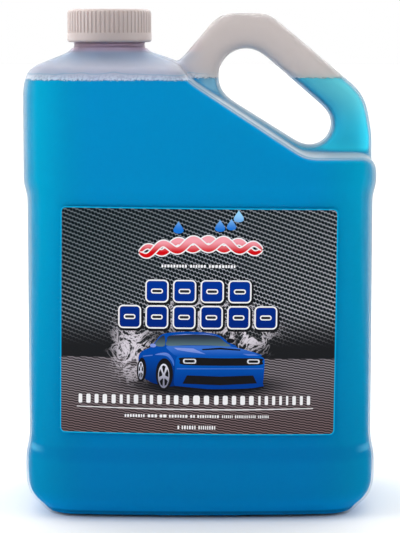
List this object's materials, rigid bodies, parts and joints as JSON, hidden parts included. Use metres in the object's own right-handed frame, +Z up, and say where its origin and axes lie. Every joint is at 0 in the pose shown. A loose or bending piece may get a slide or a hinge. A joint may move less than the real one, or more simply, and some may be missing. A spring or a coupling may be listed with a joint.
{
  "type": "handled jug of car detailing liquid",
  "caption": "Translucent rectangular jug with a moulded side handle, off-centre ribbed screw cap, labels front and back, filled with blue liquid.",
  "frame": {"origin": "on the standing surface, under the middle of the jug's width and depth", "axes": "+Z up; +X towards the handle side; the front label faces -Y"},
  "size_m": [0.1718, 0.1266, 0.2452],
  "materials": {
    "jug": "translucent natural polyethylene, slightly frosted",
    "liquid": "clear blue liquid",
    "cap": "off-white polypropylene, satin",
    "cap_liner": "white foam sheet",
    "front_label": "gloss printed film, dark woven pattern",
    "back_label": "gloss printed film, dark woven pattern"
  },
  "bodies": {
    "bottle": {"jug": "jug", "liquid": "liquid", "front_label": "front_label", "back_label": "back_label"},
    "liner": {"cap_liner": "cap_liner"},
    "closure": {"cap": "cap"}
  },
  "joints": [
    {"name": "cap_lift", "type": "slide", "parent": "bottle", "child": "liner", "axis": [0, 0, 1], "range_m": [0, 0.0212]},
    {"name": "cap_turn", "type": "hinge", "parent": "liner", "child": "closure", "pos_m": [-0.045, 0, 0.2289], "axis": [0, 0, 1], "range_deg": [0, 1800]}
  ],
  "couplings": [
    {"joint": "cap_lift", "follows": "cap_turn", "m_per_rad": 0.00067376}
  ]
}
